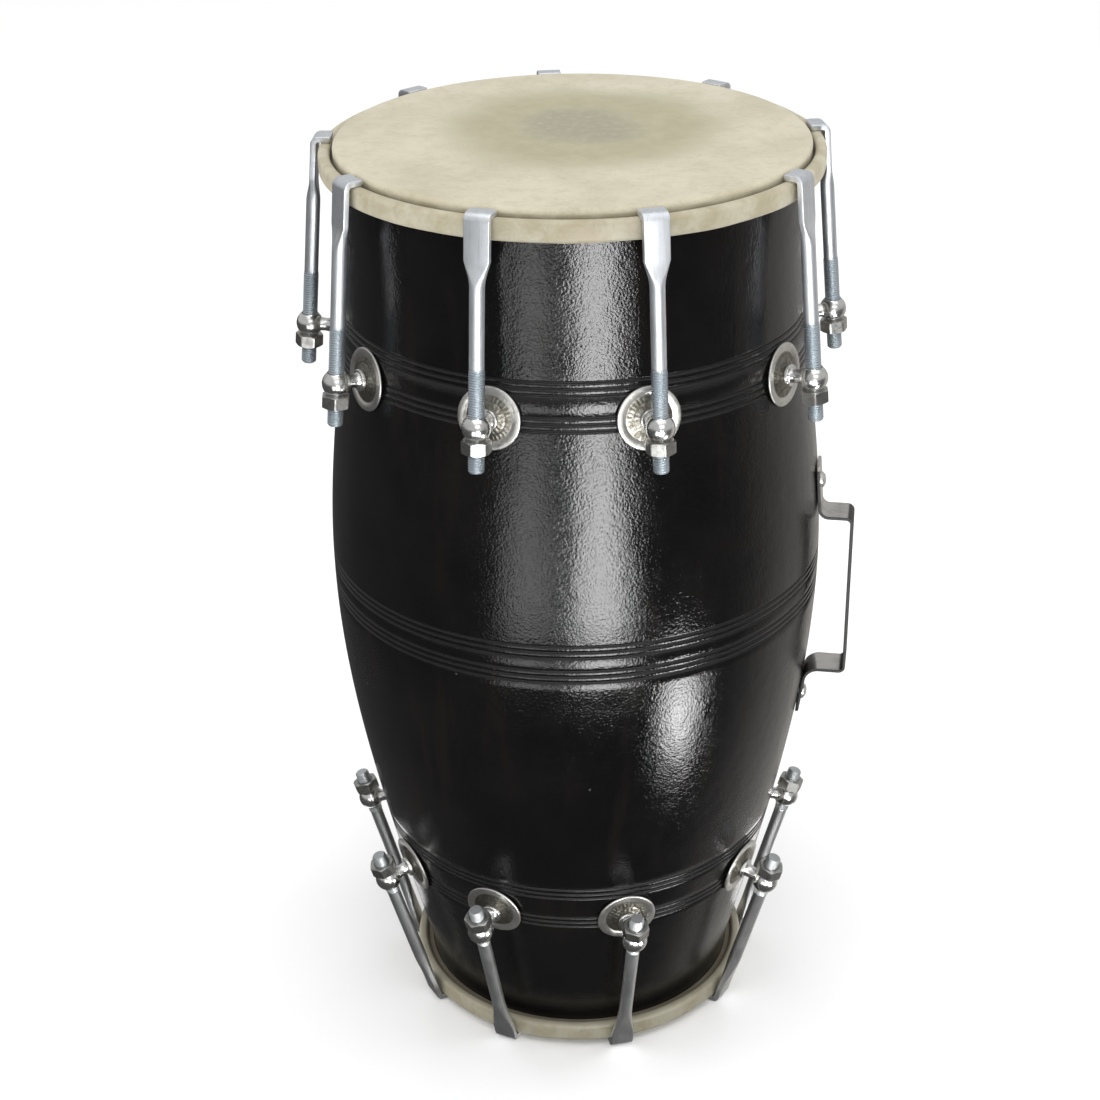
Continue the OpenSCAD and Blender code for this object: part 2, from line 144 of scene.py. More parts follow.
# -------------------- mesh tools
def mesh_object(name, verts, faces, sharp_deg=32):
    """A smooth-shaded mesh object whose edges over sharp_deg stay sharp."""
    mesh = bpy.data.meshes.new(name)
    mesh.from_pydata([tuple(v) for v in verts], [], faces)
    mesh.update()
    smooth(mesh, sharp_deg)
    obj = bpy.data.objects.new(name, mesh)
    bpy.context.scene.collection.objects.link(obj)
    return obj


def smooth(mesh, sharp_deg):
    mesh.polygons.foreach_set("use_smooth", [True] * len(mesh.polygons))
    mesh.set_sharp_from_angle(angle=math.radians(sharp_deg))


def copy_of(name, source, matrix):
    """Another object with the same mesh and materials, placed by a matrix."""
    obj = bpy.data.objects.new(name, source.data)
    obj.matrix_world = matrix
    bpy.context.scene.collection.objects.link(obj)
    return obj


def area_of(profile):
    """Signed area of a closed (radius, height) profile."""
    total = 0
    for (r0, z0), (r1, z1) in zip(profile, profile[1:] + profile[:1]):
        total += r0 * z1 - r1 * z0
    return total / 2


def lathe(profile, steps, shift=None, hollow=False, start=0):
    """Vertices and faces of a closed profile turned about Z. Ends on the axis become poles.

    shift(r, z, angle) may move a point. hollow turns the faces inwards, and start is the first
    vertex's number."""
    if (area_of(profile) < 0) != hollow:
        profile = profile[::-1]
    verts, rows = [], []
    for r, z in profile:
        count = 1 if r < 1e-7 else steps
        rows.append([start + len(verts) + k for k in range(count)])
        for k in range(count):
            a = TAU * k / steps
            rr, zz = shift(r, z, a) if shift else (r, z)
            verts.append((rr * math.cos(a), rr * math.sin(a), zz))
    closed = len(rows[0]) > 1 and len(rows[-1]) > 1
    faces = []
    for low, high in zip(rows, rows[1:] + (rows[:1] if closed else [])):
        if len(low) == len(high) == 1:
            continue
        for k in range(steps):
            n = (k + 1) % steps
            ring = [low[k % len(low)], low[n % len(low)], high[n % len(high)], high[k % len(high)]]
            faces.append(list(dict.fromkeys(ring)))
    return verts, faces


def arc(cx, cy, r, a0, a1, steps=8):
    """Points of an arc from a0 to a1 degrees."""
    angles = [math.radians(a0 + (a1 - a0) * k / steps) for k in range(steps + 1)]
    return [(cx + r * math.cos(a), cy + r * math.sin(a)) for a in angles]


def rounded_section(half_w, half_t, corner):
    """Points of a rounded rectangle, width along Y and thickness along the first axis."""
    c = min(corner, half_w, half_t)
    points = []
    for q, (sx, sy) in enumerate([(1, 1), (-1, 1), (-1, -1), (1, -1)]):
        for k in range(CORNER_STEPS):
            a = math.radians(90 * (q + (k + 0.5) / CORNER_STEPS))
            points.append((sx * (half_t - c) + c * math.cos(a), sy * (half_w - c) + c * math.sin(a)))
    return points


def band(i, j, count):
    """Faces between two rings of count vertices, of which i and j are the first."""
    return [[i + k, i + (k + 1) % count, j + (k + 1) % count, j + k] for k in range(count)]


def loft(sections):
    """A closed solid through sections that each have the same number of 3-D points."""
    count = len(sections[0])
    verts = [p for s in sections for p in s]
    last = len(verts) - count
    faces = []
    for i in range(0, last, count):
        faces += band(i, i + count, count)
    faces.append(list(range(count))[::-1])
    faces.append([last + k for k in range(count)])
    return verts, faces


def union(name, parts, sharp_deg=32):
    """One watertight object from several closed ones that run into each other."""
    base = parts[0]
    for other in parts[1:]:
        cut = base.modifiers.new("join", "BOOLEAN")
        cut.operation = "UNION"
        cut.solver = "EXACT"
        cut.object = other
    graph = bpy.context.evaluated_depsgraph_get()
    mesh = bpy.data.meshes.new_from_object(base.evaluated_get(graph))
    mesh.name = name
    smooth(mesh, sharp_deg)
    for part in parts:
        bpy.data.objects.remove(part)
    obj = bpy.data.objects.new(name, mesh)
    bpy.context.scene.collection.objects.link(obj)
    return obj


def wave(x, y, z, size, seed=0.0):
    """Smooth noise from -1 to 1 whose lumps are about size metres across."""
    return noise.noise(Vector((x, y, z)) / size + Vector((seed, 2.7 * seed, 0)))


# -------------------- places, from the joints
def hook_frame(end, i):
    """Matrix of a hook's frame: origin in its eye, Z along its rod to the tab, -X towards the drum."""
    origin = Vector(JOINTS[f"{end}_nut_{i}_turn"]["pos_m"])
    rod = Vector(JOINTS[f"{end}_hook_{i}_slide"]["axis"]).normalized()
    out = Vector((origin.x, origin.y, 0)).normalized()
    x = (out - rod * out.dot(rod)).normalized()
    return Matrix.Translation(origin) @ Matrix((x, rod.cross(x), rod)).transposed().to_4x4()


def bolt_height(end):
    """Height on the barrel of an end's eye bolts, from where their eyes are."""
    eye_z = JOINTS[f"{end}_nut_1_turn"]["pos_m"][2]
    z = eye_z
    for _ in range(8):
        z = eye_z - EYE_REACH * math.sin(shell_tilt(z))
    return z


def bolt_frame(end, i):
    """Matrix of an eye bolt's frame: origin on the barrel's surface, Z outwards along the bolt, Y level."""
    eye = Vector(JOINTS[f"{end}_nut_{i}_turn"]["pos_m"])
    a = math.atan2(eye.y, eye.x)
    z = bolt_height(end)
    place = Matrix.Rotation(a, 4, "Z") @ Matrix.Translation((shell_r(z), 0, z))
    return place @ Matrix.Rotation(math.pi / 2 - shell_tilt(z), 4, "Y")


def lean_of(end):
    """Lean of an end's hooks from upright, in radians."""
    rod = Vector(JOINTS[f"{end}_hook_1_slide"]["axis"]).normalized()
    return math.acos(min(1, abs(rod.z)))


# -------------------- the barrel
def groove_heights():
    return [band + k * GROOVE_PITCH for band in BANDS for k in (-1, 0, 1)]


def groove_cut(z):
    """Depth of the turned grooves at height z."""
    near = min(abs(z - g) for g in groove_heights())
    if near >= GROOVE_HALF:
        return 0
    return GROOVE_DEPTH * (0.5 + 0.5 * math.cos(math.pi * near / GROOVE_HALF)) ** GROOVE_FLARE


def side_heights(low, high):
    """Heights of the barrel's rings: coarse on its plain stretches and fine in each groove."""
    coarse, fine = 110, 5
    heights = {round(low + (high - low) * k / coarse, 6) for k in range(coarse + 1)}
    for g in groove_heights():
        heights -= {h for h in heights if abs(h - g) < 1.3 * GROOVE_HALF}
        heights |= {round(g + GROOVE_HALF * t / fine, 6) for t in range(-fine, fine + 1)}
    return sorted(heights)


def shell_profile(low, high):
    """Outline of the barrel, up its outside and down its bore."""
    outside = [(shell_r(z) - groove_cut(z), z) for z in side_heights(low, high)]
    steps = 40
    bore = []
    for k in range(steps + 1):
        z = high - RIM_BEVEL - (high - low - 2 * RIM_BEVEL) * k / steps
        bore.append((shell_r(z) - WALL, z))
    return outside + [(NECK_R - RIM_LAND, high)] + bore + [(SEAT_R - RIM_LAND, low)]


def hand_turned(r, z, a):
    """Sinks the barrel's outside by up to 0.2 mm in broad lumps and long ripples."""
    if r < shell_r(z) - WALL / 2:
        return r, z
    x, y = r * math.cos(a), r * math.sin(a)
    lumps = 0.10 * MM * wave(x, y, z, 45 * MM)
    ripples = 0.05 * MM * wave(x, y, z * 0.4, 14 * MM, 5.0)
    return r + min(0, lumps + ripples - 0.05 * MM), z


def make_shell():
    low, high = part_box("shell")
    shell = mesh_object("barrel", *lathe(shell_profile(low.z, high.z), RING, hand_turned), sharp_deg=50)
    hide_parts("shell")
    return shell


# -------------------- the skins
def skin_profile(collar_r):
    """Outline of a skin whose playing surface is at height 0, from the middle of its face round to
    the middle of its inside."""
    lap_in = collar_r + CREVICE
    lap_out = lap_in + LAP_W
    bottom = -CROWN - LAP_H
    seam = bottom + LAP_ROUND
    rings = 26
    face = [((collar_r - FACE_ROUND) * (k / rings) ** 0.9, 0) for k in range(rings + 1)]
    fold = arc(collar_r - FACE_ROUND, -FACE_ROUND, FACE_ROUND, 90, 0)[1:]
    gully = arc(lap_in - CREVICE / 2, seam + SKIN_T + CREVICE / 2, CREVICE / 2, 180, 360, 6)
    top_in = arc(lap_in + LAP_ROUND, -CROWN - LAP_ROUND, LAP_ROUND, 180, 90)
    top_out = arc(lap_out - LAP_ROUND, -CROWN - LAP_ROUND, LAP_ROUND, 90, 0)
    waist = [(lap_out, -CROWN - LAP_ROUND - (LAP_H - 2 * LAP_ROUND) * k / 5) for k in range(1, 5)]
    foot_out = arc(lap_out - LAP_ROUND, seam, LAP_ROUND, 0, -90)
    foot_in = arc(lap_in + LAP_ROUND, seam, LAP_ROUND, -90, -180, 6)
    inner_r = collar_r - SKIN_T
    inside = [(inner_r, seam), (inner_r, -SKIN_T - FOLD_ROUND)]
    inside += arc(inner_r - FOLD_ROUND / 2, -SKIN_T - FOLD_ROUND / 2, FOLD_ROUND / 2, 0, 90, 4)
    return face + fold + gully + top_in + top_out + waist + foot_out + foot_in + inside + [(0, -SKIN_T)]


def hoop_room(collar_r):
    """Outline of the room in the lap for the steel hoop."""
    x0 = collar_r + CREVICE + LAP_T
    x1 = x0 + LAP_W - 2 * LAP_T
    z0 = -CROWN - LAP_H + LAP_T
    z1 = -CROWN - LAP_T
    return [(x0, z0), (x1, z0), (x1, z1), (x0, z1)]


def make_skin(end):
    """A skin, with its playing surface, its collar and the edge that is lapped round the hoop."""
    low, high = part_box(f"{end}_skin")
    up, face_z, seed = (1, high.z, 3.0) if end == "bass" else (-1, low.z, 11.0)
    collar_r = high.x - LAP_W - CREVICE
    lap_in = collar_r + CREVICE

    def set_in(r, z, a):
        """The hand-lapped edge is slightly uneven, and only ever inwards of the plain outline."""
        depth = (face_z - z) * up
        x, y = r * math.cos(a), r * math.sin(a)
        if r > lap_in + 0.2 * MM:
            slack = 0.5 + 0.5 * wave(x, y, z, 16 * MM, seed)
            edge = 0.5 + 0.5 * wave(x, y, 0, 30 * MM, seed + 4)
            low_part = max(0, (depth - CROWN - LAP_H / 2) / (LAP_H / 2))
            r -= LAP_SLACK * slack * min(1, (r - lap_in) / LAP_W)
            z += up * LAP_RAGGED * edge * low_part
            z -= up * FACE_SAG * slack * (1 - low_part)
        elif depth < 0.1 * MM and r < collar_r - FACE_ROUND:
            z -= up * FACE_SAG * (0.5 + 0.5 * wave(x, y, 0, 50 * MM, seed)) * min(1, r / (40 * MM))
        return r, z

    def placed(outline):
        return [(r, face_z + up * z) for r, z in outline]

    verts, faces = lathe(placed(skin_profile(collar_r)), RING, set_in)
    room_verts, room_faces = lathe(placed(hoop_room(collar_r)), RING, hollow=True, start=len(verts))
    skin = mesh_object(f"{end}_head", verts + room_verts, faces + room_faces, sharp_deg=50)
    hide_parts(f"{end}_skin")
    return skin


# -------------------- hooks, nuts, eye bolts and rosettes
def hook_sizes(end):
    """Reach from the eye to the tab's top face, lean, and length of the tab beyond its bend."""
    low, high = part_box(f"{end}_skin")
    eye = Vector(JOINTS[f"{end}_nut_1_turn"]["pos_m"])
    depth = high.z - eye.z if end == "bass" else eye.z - low.z
    lean = lean_of(end)
    reach = (depth - CROWN + BLADE_T + FACE_GAP) / math.cos(lean)
    collar_r = high.x - LAP_W - CREVICE
    cx, cz = bend_centre(reach, lean)
    start = (cx + BEND_R * math.sin(lean), cz + BEND_R * math.cos(lean))
    eye_r = math.hypot(eye.x, eye.y)
    tab = eye_r - start[1] * math.sin(lean) + start[0] * math.cos(lean) - collar_r - TAB_PLAY
    return reach, lean, tab


def bend_centre(reach, lean):
    x = BLADE_T / 2 - BEND_R
    return x, reach - (BEND_R + x * math.sin(lean)) / math.cos(lean)


def thread_radius(z, a, low, high):
    """Radius of a right-hand thread that fades in and out at its ends."""
    fade_in, fade_out = 1.2 * MM, 1.6 * MM
    phase = (z / THREAD_PITCH - a / TAU) % 1
    ridge = 1 - abs(2 * phase - 1)
    ridge = min(1, max(0, 1.25 * ridge - 0.1))
    fade = min(1, max(0, (z - low) / fade_in), max(0, (high - z) / fade_out))
    valley = ROOT_R + (SHANK_R - ROOT_R) * (1 - fade)
    return valley + (CREST_R - ROOT_R) * ridge * fade


def rod_sections(end):
    """The threaded rod, from its chamfered tip to the plain shank."""
    past, top = ROD_END[end], THREAD_PAST[end]
    around = 4 * CORNER_STEPS
    angles = [TAU * (k + 0.5) / around for k in range(around)]
    tip_r = CREST_R - ROD_CHAMFER
    sections = [[(tip_r * math.cos(a), tip_r * math.sin(a), -past) for a in angles]]
    rings = int((top + past) / (THREAD_PITCH / 7))
    for k in range(1, rings + 1):
        z = -past + (top + past) * k / rings
        row = []
        for a in angles:
            r = min(thread_radius(z, a, -past - 2 * MM, top), tip_r + (z + past) * 1.1)
            row.append((r * math.cos(a), r * math.sin(a), z))
        sections.append(row)
    return sections


def shank_sections(end, neck_start):
    """The plain shank between the thread and the neck."""
    top, steps = THREAD_PAST[end], 7
    circle = rounded_section(SHANK_R, SHANK_R, SHANK_R)
    return [[(x, y, top + (neck_start - top) * k / steps) for x, y in circle] for k in range(1, steps)]


def neck_sections(end, neck_start):
    """The neck, where the round shank flattens and spreads to the blade's width."""
    steps, blend = 20, 9
    sections = []
    for k in range(steps + 1):
        t = k / steps
        ease = t * t * (3 - 2 * t)
        straight = BLADE_CORE + (BLADE_W / 2 - BLADE_CORE) * t
        half_w = (SHANK_R ** blend + straight ** blend) ** (1 / blend) - 0.01 * MM
        half_t = SHANK_R + (BLADE_T / 2 - SHANK_R) * ease
        corner = SHANK_R + (BLADE_ROUND - SHANK_R) * ease
        z = neck_start + BLADE_NECK[end] * t
        sections.append([(x, y, z) for x, y in rounded_section(half_w, half_t, corner)])
    return sections


def blade_sections(reach, lean, neck_end):
    """The flat blade, and the bend between it and the tab."""
    flat = rounded_section(BLADE_W / 2, BLADE_T / 2, BLADE_ROUND)
    cx, cz = bend_centre(reach, lean)
    rows, steps = 9, 14
    sections = []
    for k in range(1, rows):
        z = neck_end + (cz - neck_end) * k / rows
        sections.append([(x, y, z) for x, y in flat])
    swing = math.pi / 2 - lean
    middle = BEND_R - BLADE_T / 2
    for k in range(steps + 1):
        b = swing * k / steps
        spread = 1 + 0.02 * math.sin(math.pi * k / steps)
        sections.append([
            (cx + (middle + x) * math.cos(b), y * spread, cz + (middle + x) * math.sin(b)) for x, y in flat
        ])
    return sections


def tab_sections(reach, lean, tab):
    """The tab beyond the bend, with a rounded tip."""
    cx, cz = bend_centre(reach, lean)
    swing = math.pi / 2 - lean
    middle = BEND_R - BLADE_T / 2
    along = (-math.sin(swing), math.cos(swing))
    out = (math.cos(swing), math.sin(swing))
    start = (cx + middle * out[0], cz + middle * out[1])
    steps, crowding = 6, 1.6
    sections = []
    for k in range(1, steps + 1):
        s = tab * (1 - (1 - k / steps) ** crowding)
        edge = TIP_ROUND * max(0, 1 - (tab - s) / TIP_ROUND)
        shape = rounded_section(BLADE_W / 2 - edge, BLADE_T / 2 - edge, BLADE_ROUND)
        sections.append([
            (start[0] + along[0] * s + out[0] * x, y, start[1] + along[1] * s + out[1] * x) for x, y in shape
        ])
    return sections


def make_hook(end):
    """A forged hook in its own frame: threaded rod, plain shank, flattened blade, bend and tab."""
    reach, lean, tab = hook_sizes(end)
    neck_end = reach - BLADE_L[end]
    neck_start = neck_end - BLADE_NECK[end]
    sections = rod_sections(end) + shank_sections(end, neck_start) + neck_sections(end, neck_start)
    sections += blade_sections(reach, lean, neck_end) + tab_sections(reach, lean, tab)
    return mesh_object(f"{end}_hook_shape", *loft(sections), sharp_deg=38)


def nut_outline(a):
    """Section of a nut at angle a round its axis, as eight (radius, height) points."""
    sixth = math.pi / 6
    chamfer = 0.5 * MM
    face_r = NUT_AF / 2 - 0.25 * MM
    corner_r = NUT_AF / 2 / math.cos(sixth) - 0.15 * MM
    from_corner = abs((a + sixth) % (math.pi / 3) - sixth)
    side_r = min(NUT_AF / 2 / math.cos(abs(from_corner - sixth)), corner_r)
    drop = (side_r - face_r) / 1.9
    return [
        (BORE_R, chamfer), (BORE_R + chamfer, 0), (face_r, 0), (side_r, drop),
        (side_r, NUT_H - drop), (face_r, NUT_H), (BORE_R + chamfer, NUT_H), (BORE_R, NUT_H - chamfer),
    ]


def make_nut():
    """A chamfered hexagonal nut in a hook's frame, against the eye's face."""
    steps = 96
    z0 = -EYE_HALF - FACE_GAP - NUT_H
    angles = [TAU * k / steps for k in range(steps)]
    verts, faces = [], []
    for ring in zip(*[nut_outline(a) for a in angles]):
        verts += [(r * math.cos(a), r * math.sin(a), z0 + z) for a, (r, z) in zip(angles, ring)]
    for i in range(0, len(verts), steps):
        faces += band(i, (i + steps) % len(verts), steps)
    return mesh_object("nut_shape", verts, faces, sharp_deg=22)


def make_ball():
    """An eye bolt's ball about the origin, its chamfered bore along Z."""
    edge = 0.35 * MM
    top = math.degrees(math.asin(EYE_HALF / EYE_R)) - 3
    profile = arc(0, 0, EYE_R, -top, top, 28)
    profile += [(BORE_R + edge, EYE_HALF), (BORE_R, EYE_HALF - edge)]
    profile += [(BORE_R, -EYE_HALF + edge), (BORE_R + edge, -EYE_HALF)]
    return mesh_object("ball", *lathe(profile, 56))


def make_neck():
    """An eye bolt's shank, its shoulder on the rosette, and the waisted neck that carries the ball."""
    bottom = -WALL - BOLT_INSIDE
    seat = ROSETTE_H + FACE_GAP
    top = seat + SHOULDER_H
    sunk = EYE_REACH - math.sqrt(EYE_R ** 2 - BORE_R ** 2) + 0.3 * MM
    rounding = 0.6 * MM
    profile = [(0, bottom), (BOLT_TIP_R, bottom), (BOLT_R, bottom + 0.8 * MM), (BOLT_R, seat)]
    profile += [(SHOULDER_R - 0.3 * MM, seat), (SHOULDER_R, seat + 0.3 * MM)]
    profile += arc(SHOULDER_R - rounding, top - rounding, rounding, 0, 90, 4)
    profile += [(SHANK_R + 0.5 * MM, top), (SHANK_R + 0.1 * MM, top + 0.5 * MM)]
    profile += [(SHANK_R - 0.25 * MM, (top + sunk) / 2), (SHANK_R, sunk), (0, sunk + 0.2 * MM)]
    return mesh_object("neck", *lathe(profile, 40))


def make_eye_bolt(end):
    """An eye bolt in its bolt frame, with its ball turned so that the bore follows the hook."""
    ball = make_ball()
    ball.data.transform(bolt_frame(end, 1).inverted() @ hook_frame(end, 1))
    return union(f"{end}_eye_bolt_shape", [ball, make_neck()], sharp_deg=40)


def rosette_profile():
    """Outline of a rosette: a smooth rolled rim, a raised middle and a flat back."""
    foot, bead, rings = 0.25 * MM, 0.7 * MM, 22
    inner = ROSETTE_R - ROLLED_RIM
    rim = arc(ROSETTE_R - bead, foot + 0.75 * MM, bead, -60, 90, 8)
    rim += [(ROSETTE_R - 1.6 * MM, 1.75 * MM), (inner + 0.5 * MM, 1.6 * MM), (inner, DOME_Z)]
    dome = []
    for k in range(1, rings + 1):
        t = k / rings
        dome.append((inner + (ROSETTE_HOLE - inner) * t, DOME_Z + (ROSETTE_H - DOME_Z) * t ** 1.25))
    return rim + dome + [(ROSETTE_HOLE, foot + 0.1 * MM), (ROSETTE_R - 1.4 * MM, foot)]


def press_petals(r, z, a):
    """Presses two rows of plain petals, and the valley between them, into a rosette's middle."""
    hub, inner = 5 * MM, ROSETTE_R - ROLLED_RIM
    if z < 1.0 * MM or r > inner or r < hub:
        return r, z
    t = (r - hub) / (inner - hub)
    outer_row = math.exp(-((t - 0.74) / 0.17) ** 2)
    inner_row = math.exp(-((t - 0.27) / 0.15) ** 2)
    valley = math.exp(-((t - 0.5) / 0.05) ** 2)
    petals = outer_row * abs(math.cos(15 * a)) + 0.8 * inner_row * abs(math.cos(9 * a + 0.4))
    return r, z + 0.26 * MM * (petals - 0.5 * (outer_row + inner_row)) - 0.18 * MM * valley


def make_rosette():
    return mesh_object("rosette_shape", *lathe(rosette_profile(), 144, press_petals), sharp_deg=60)


def place_hardware(looks):
    """Puts every hook, nut, eye bolt and rosette where its joint says, and rides each on its body."""
    nut = make_nut()
    rosette = make_rosette()
    nut.data.materials.append(looks["nut_zinc"])
    rosette.data.materials.append(looks["rosette_nickel"])
    for end in ("bass", "treble"):
        hook, eye = make_hook(end), make_eye_bolt(end)
        hook.data.materials.append(looks[f"{end}_hook_steel"])
        eye.data.materials.append(looks["eye_chrome"])
        for i in HOOKS:
            at_eye, at_bolt = hook_frame(end, i), bolt_frame(end, i)
            for shape, kind, body, node, place, slot in (
                (hook, "hook", f"{end}_hook_{i}_body", f"{end}_hook_{i}", at_eye, f"{end}_hook_steel"),
                (nut, "nut", f"{end}_nut_{i}_body", f"{end}_nut_{i}", at_eye, "nut_zinc"),
                (eye, "eye_bolt", "drum", f"{end}_eye_bolts", at_bolt, "eye_chrome"),
                (rosette, "rosette", "drum", f"{end}_rosettes", at_bolt, "rosette_nickel"),
            ):
                piece = copy_of(f"{end}_{kind}_{i:02d}", shape, place)
                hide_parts(node)
                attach(piece, body)
        bpy.data.objects.remove(hook)
        bpy.data.objects.remove(eye)
    bpy.data.objects.remove(nut)
    bpy.data.objects.remove(rosette)


# -------------------- the handle
def corner_arc(before, at, after, r, steps=12):
    """An arc of radius r that rounds the corner of a path."""
    d1, d2 = (before - at).normalized(), (after - at).normalized()
    half = math.acos(max(-1, min(1, d1.dot(d2)))) / 2
    centre = at + (d1 + d2).normalized() * (r / math.sin(half))
    start = at + d1 * (r / math.tan(half)) - centre
    stop = at + d2 * (r / math.tan(half)) - centre
    a0, a1 = math.atan2(start.y, start.x), math.atan2(stop.y, stop.x)
    turn = (a1 - a0 + math.pi) % TAU - math.pi
    return [centre + Vector((math.cos(a0 + turn * k / steps), math.sin(a0 + turn * k / steps))) * r
            for k in range(steps + 1)]


def handle_path():
    """Middle line of the bent strip, as (radius, height) points."""
    foot_top, arm_top, arm_low, foot_low = HANDLE_HEIGHTS
    off = HANDLE_T / 2 + FOOT_LIFT
    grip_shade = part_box("handle")[1].x - HANDLE_T / 2
    corners = [
        Vector((shell_r(foot_top) + off, foot_top)), Vector((shell_r(arm_top) + off, arm_top)),
        Vector((grip_shade, arm_top)), Vector((grip_shade, arm_low)),
        Vector((shell_r(arm_low) + off, arm_low)), Vector((shell_r(foot_low) + off, foot_low)),
    ]
    path = []
    for k, r in enumerate(HANDLE_BENDS, 1):
        path += corner_arc(corners[k - 1], corners[k], corners[k + 1], r)
    full = [corners[0]]
    step = 4 * MM
    for a, b in zip([corners[0]] + path, path + [corners[-1]]):
        pieces = max(1, int((b - a).length / step))
        full += [a.lerp(b, k / pieces) for k in range(1, pieces + 1)]
    return full


def handle_stations(run):
    """Distances along the strip at which it has a section, closer together in its rounded ends."""
    total = run[-1]
    marks = [FOOT_CORNER * (1 - math.cos(math.pi / 2 * k / 8)) for k in range(8)]
    between = {s for s in run if FOOT_CORNER < s < total - FOOT_CORNER}
    return sorted(set(marks) | {total - m for m in marks} | between)


def make_handle():
    """The bent strip, with softly rounded edges and rounded ends on its feet."""
    low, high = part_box("handle")
    width = (high.y - low.y) / 2
    path = handle_path()
    run = [0]
    for a, b in zip(path, path[1:]):
        run.append(run[-1] + (b - a).length)
    sections = []
    for s in handle_stations(run):
        k = max(i for i in range(len(run) - 1) if run[i] <= s + 1e-9)
        p = path[k].lerp(path[k + 1], (s - run[k]) / (run[k + 1] - run[k]))
        before, after = path[max(0, k - 1)], path[min(len(path) - 1, k + 2)]
        d = (after - before).normalized()
        side = Vector((-d.y, d.x))
        inset = max(0, FOOT_CORNER - min(s, run[-1] - s))
        half_w = width - (FOOT_CORNER - math.sqrt(max(0, FOOT_CORNER ** 2 - inset ** 2)))
        shape = rounded_section(half_w, HANDLE_T / 2, HANDLE_ROUND)
        sections.append([(p.x + side.x * x, -y, p.y + side.y * x) for x, y in shape])
    handle = mesh_object("carry_handle", *loft(sections), sharp_deg=40)
    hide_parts("handle")
    return handle


# -------------------- materials
class Nodes:
    """Builds the nodes of one tree. A value is either a number, a colour or another node's output."""

    def __init__(self, tree):
        self.tree = tree

    def put(self, socket, value):
        if isinstance(value, bpy.types.NodeSocket):
            self.tree.links.new(value, socket)
        else:
            socket.default_value = value

    def fill(self, node, **inputs):
        """Sets a node's named inputs. An underscore in a name stands for a space."""
        for name, value in inputs.items():
            self.put(node.inputs[name.replace("_", " ")], value)
        return node

    def node(self, kind, **inputs):
        return self.fill(self.tree.nodes.new("ShaderNode" + kind), **inputs)

    def span(self, value, low, high, to_low=0.0, to_high=1.0):
        """A smooth step from to_low to to_high as value goes from low to high."""
        made = self.node("MapRange", Value=value, From_Min=low, From_Max=high, To_Min=to_low, To_Max=to_high)
        made.interpolation_type = "SMOOTHSTEP"
        return made.outputs["Result"]


class Look(Nodes):
    """One material, on a Principled shader, in its object's own coordinates."""

    def __init__(self, name, colour, roughness, metallic=0.0, **sockets):
        self.material = bpy.data.materials.new(name)
        self.material.use_nodes = True
        super().__init__(self.material.node_tree)
        self.shader = self.tree.nodes["Principled BSDF"]
        self.fill(self.shader, Base_Color=(*colour, 1), Roughness=roughness, Metallic=metallic, **sockets)
        self.place = self.node("TexCoord").outputs["Object"]

    def math(self, operation, a, b=0.0):
        made = self.node("Math")
        made.operation = operation
        self.put(made.inputs[0], a)
        self.put(made.inputs[1], b)
        return made.outputs[0]

    def times(self, a, b):
        return self.math("MULTIPLY", a, b)

    def apart(self, a, b):
        """Distance between two values."""
        return self.math("ABSOLUTE", self.math("SUBTRACT", a, b))

    def scaled(self, scale):
        """Object coordinates stretched by a factor for each axis."""
        return self.node("Mapping", Vector=self.place, Scale=scale).outputs[0]

    def along(self, axis):
        """Object coordinate along X, Y or Z."""
        return self.node("SeparateXYZ", Vector=self.place).outputs[axis]

    def radius(self, x=0.0, y=0.0):
        """Distance from an upright line through (x, y)."""
        dx = self.math("SUBTRACT", self.along("X"), x)
        dy = self.math("SUBTRACT", self.along("Y"), y)
        return self.math("SQRT", self.math("ADD", self.times(dx, dx), self.times(dy, dy)))

    def noise(self, size, detail=3.0, rough=0.55, place=None, warp=0.0, varied=False):
        """Noise from 0 to 1 whose lumps are about size metres across. varied makes each piece differ."""
        made = self.node("TexNoise", Vector=place or self.place, Scale=1 / size, Detail=detail)
        self.fill(made, Roughness=rough, Distortion=warp)
        if varied:
            made.noise_dimensions = "4D"
            self.put(made.inputs["W"], self.times(self.node("ObjectInfo").outputs["Random"], 40.0))
        return made.outputs["Fac"]

    def spots(self, size):
        """Distance from the nearest of many scattered points, in cells of size metres."""
        return self.node("TexVoronoi", Vector=self.place, Scale=1 / size).outputs["Distance"]

    def mix(self, share, a, b):
        """Colour a where share is 0, and b where it is 1."""
        made = self.node("Mix")
        made.data_type = "RGBA"
        self.put(made.inputs["Factor"], share)
        for socket, value in (("A", a), ("B", b)):
            target = [s for s in made.inputs if s.name == socket and s.type == "RGBA"][0]
            self.put(target, value if isinstance(value, bpy.types.NodeSocket) else (*value, 1))
        return [s for s in made.outputs if s.type == "RGBA"][0]

    def finish(self, colour, roughness, *bumps):
        """Links the surface and gives the material. Each bump is (height, how far it stands up in metres)."""
        relief = {}
        for height, depth in bumps:
            bump = self.node("Bump", Distance=depth, Strength=1.0, Height=height, **relief)
            relief = {"Normal": bump.outputs["Normal"]}
        self.fill(self.shader, Base_Color=colour, Roughness=roughness, **relief)
        return self.material


def matt_grooves(look, gloss):
    """The paint's roughness, raised inside each turned groove."""
    matt = 0.55
    for band in BANDS:
        away = look.apart(look.along("Z"), band)
        from_groove = look.math("ABSOLUTE", look.math("PINGPONG", away, GROOVE_PITCH / 2))
        groove = look.span(from_groove, 0.8 * GROOVE_HALF, 0.4 * GROOVE_HALF)
        inside = look.times(groove, look.math("LESS_THAN", away, GROOVE_PITCH + GROOVE_HALF))
        gloss = look.math("MAXIMUM", gloss, look.times(inside, matt))
    return gloss


